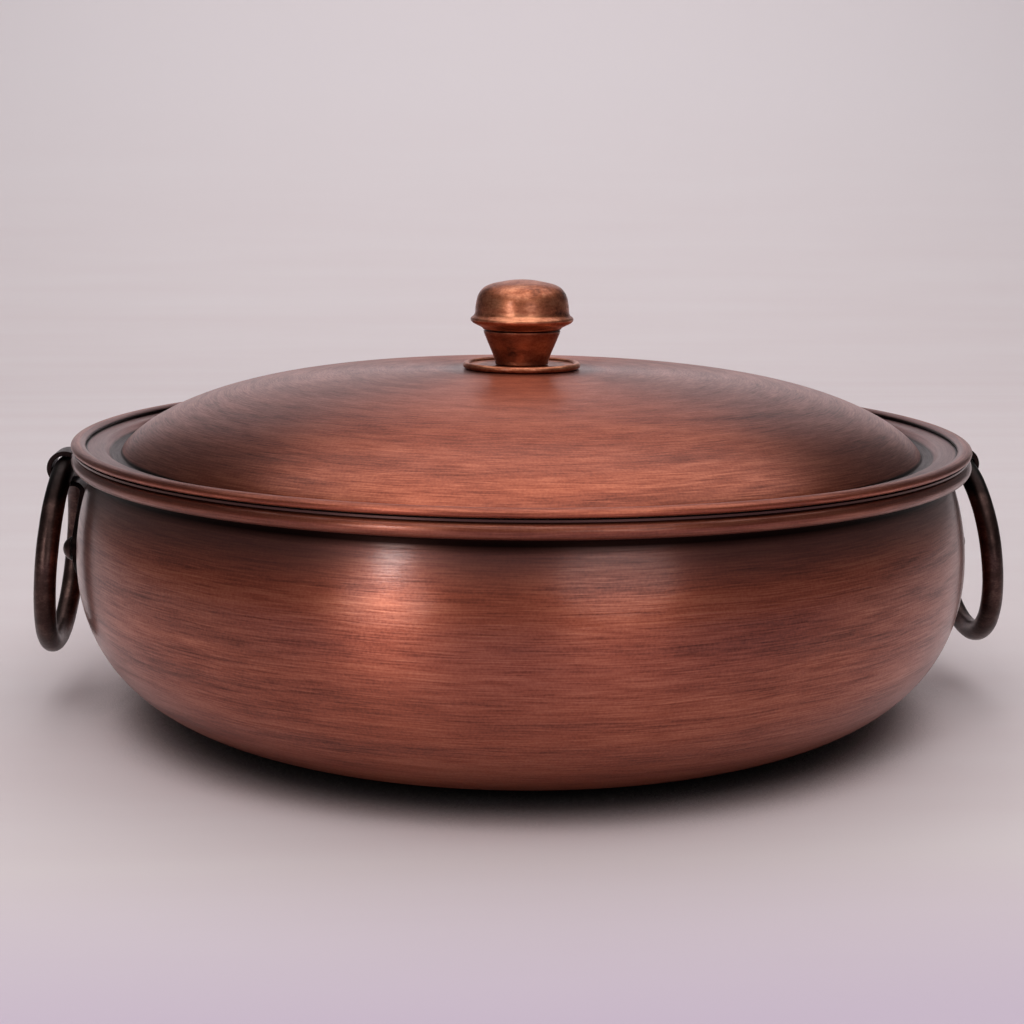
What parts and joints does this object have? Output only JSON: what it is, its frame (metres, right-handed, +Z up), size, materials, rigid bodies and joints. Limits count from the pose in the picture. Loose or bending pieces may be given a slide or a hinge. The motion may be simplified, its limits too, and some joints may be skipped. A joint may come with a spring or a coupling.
{
  "type": "chafing dish",
  "caption": "Round covered copper chafing dish: water bowl, hung food pan, domed lid with a knob, and swinging ring handles.",
  "frame": {"origin": "centre of the dish's flat base, on the surface it stands on", "axes": "+Z up, ring handles towards -X and +X, front of the picture towards -Y"},
  "size_m": [0.3277, 0.3, 0.1433],
  "materials": {
    "copper": "brushed, lacquered",
    "tinned_steel": "satin",
    "rim_wire": "drawn",
    "dark_bronze": "darkened, rubbed",
    "knob_copper": "copper plated, mottled",
    "screw_steel": "plain"
  },
  "bodies": {
    "bowl_body": {"bowl": "copper", "bowl_rim_wire": "rim_wire", "left_bracket": "dark_bronze", "right_bracket": "dark_bronze", "left_rivet_front": "dark_bronze", "left_rivet_back": "dark_bronze", "right_rivet_front": "dark_bronze", "right_rivet_back": "dark_bronze", "left_burr_front": "screw_steel", "left_burr_back": "screw_steel", "right_burr_front": "screw_steel", "right_burr_back": "screw_steel"},
    "pan_body": {"food_pan": "tinned_steel"},
    "lid_body": {"lid": "copper", "lid_rim_wire": "rim_wire", "knob_plate": "knob_copper", "knob_stem": "knob_copper", "knob_cap": "knob_copper", "knob_screw": "screw_steel", "knob_washer": "screw_steel"},
    "left_ring_body": {"left_ring": "dark_bronze"},
    "right_ring_body": {"right_ring": "dark_bronze"}
  },
  "joints": [
    {"name": "pan_lift", "type": "slide", "parent": "bowl_body", "child": "pan_body", "axis": [0, 0, 1], "range_m": [0, 0.07]},
    {"name": "lid_lift", "type": "slide", "parent": "pan_body", "child": "lid_body", "axis": [0, 0, 1], "range_m": [0, 0.08]},
    {"name": "left_ring_hinge", "type": "hinge", "parent": "bowl_body", "child": "left_ring_body", "pos_m": [-0.15365, 0, 0.08], "axis": [0, 1, 0], "range_deg": [-10.6, 144.4]},
    {"name": "right_ring_hinge", "type": "hinge", "parent": "bowl_body", "child": "right_ring_body", "pos_m": [0.15365, 0, 0.08], "axis": [0, -1, 0], "range_deg": [-12, 143]}
  ]
}
